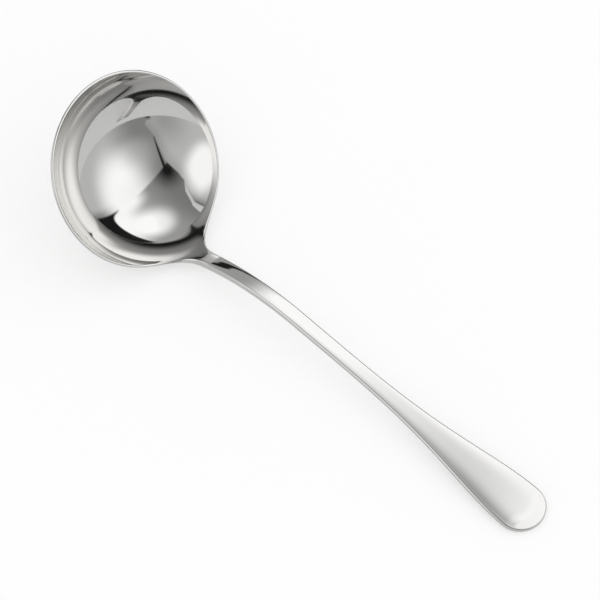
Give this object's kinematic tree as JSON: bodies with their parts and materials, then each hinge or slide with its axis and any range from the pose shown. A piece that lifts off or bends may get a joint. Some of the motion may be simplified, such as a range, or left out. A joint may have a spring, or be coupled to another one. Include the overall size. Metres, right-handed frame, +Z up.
{
  "type": "soup ladle",
  "caption": "Polished steel soup ladle with a round bowl, a flared neck and a long curved handle that widens to a rounded end.",
  "frame": {"origin": "on the table, at the middle of the resting ladle's box", "axes": "+X from the bowl towards the handle's tip, +Z up, with the ladle lying on the bowl's underside and the tip"},
  "size_m": [0.2816, 0.092, 0.0678],
  "materials": {
    "polished_steel": "mirror polish"
  },
  "bodies": {
    "root": {"bowl": "polished_steel", "handle": "polished_steel"}
  },
  "joints": []
}
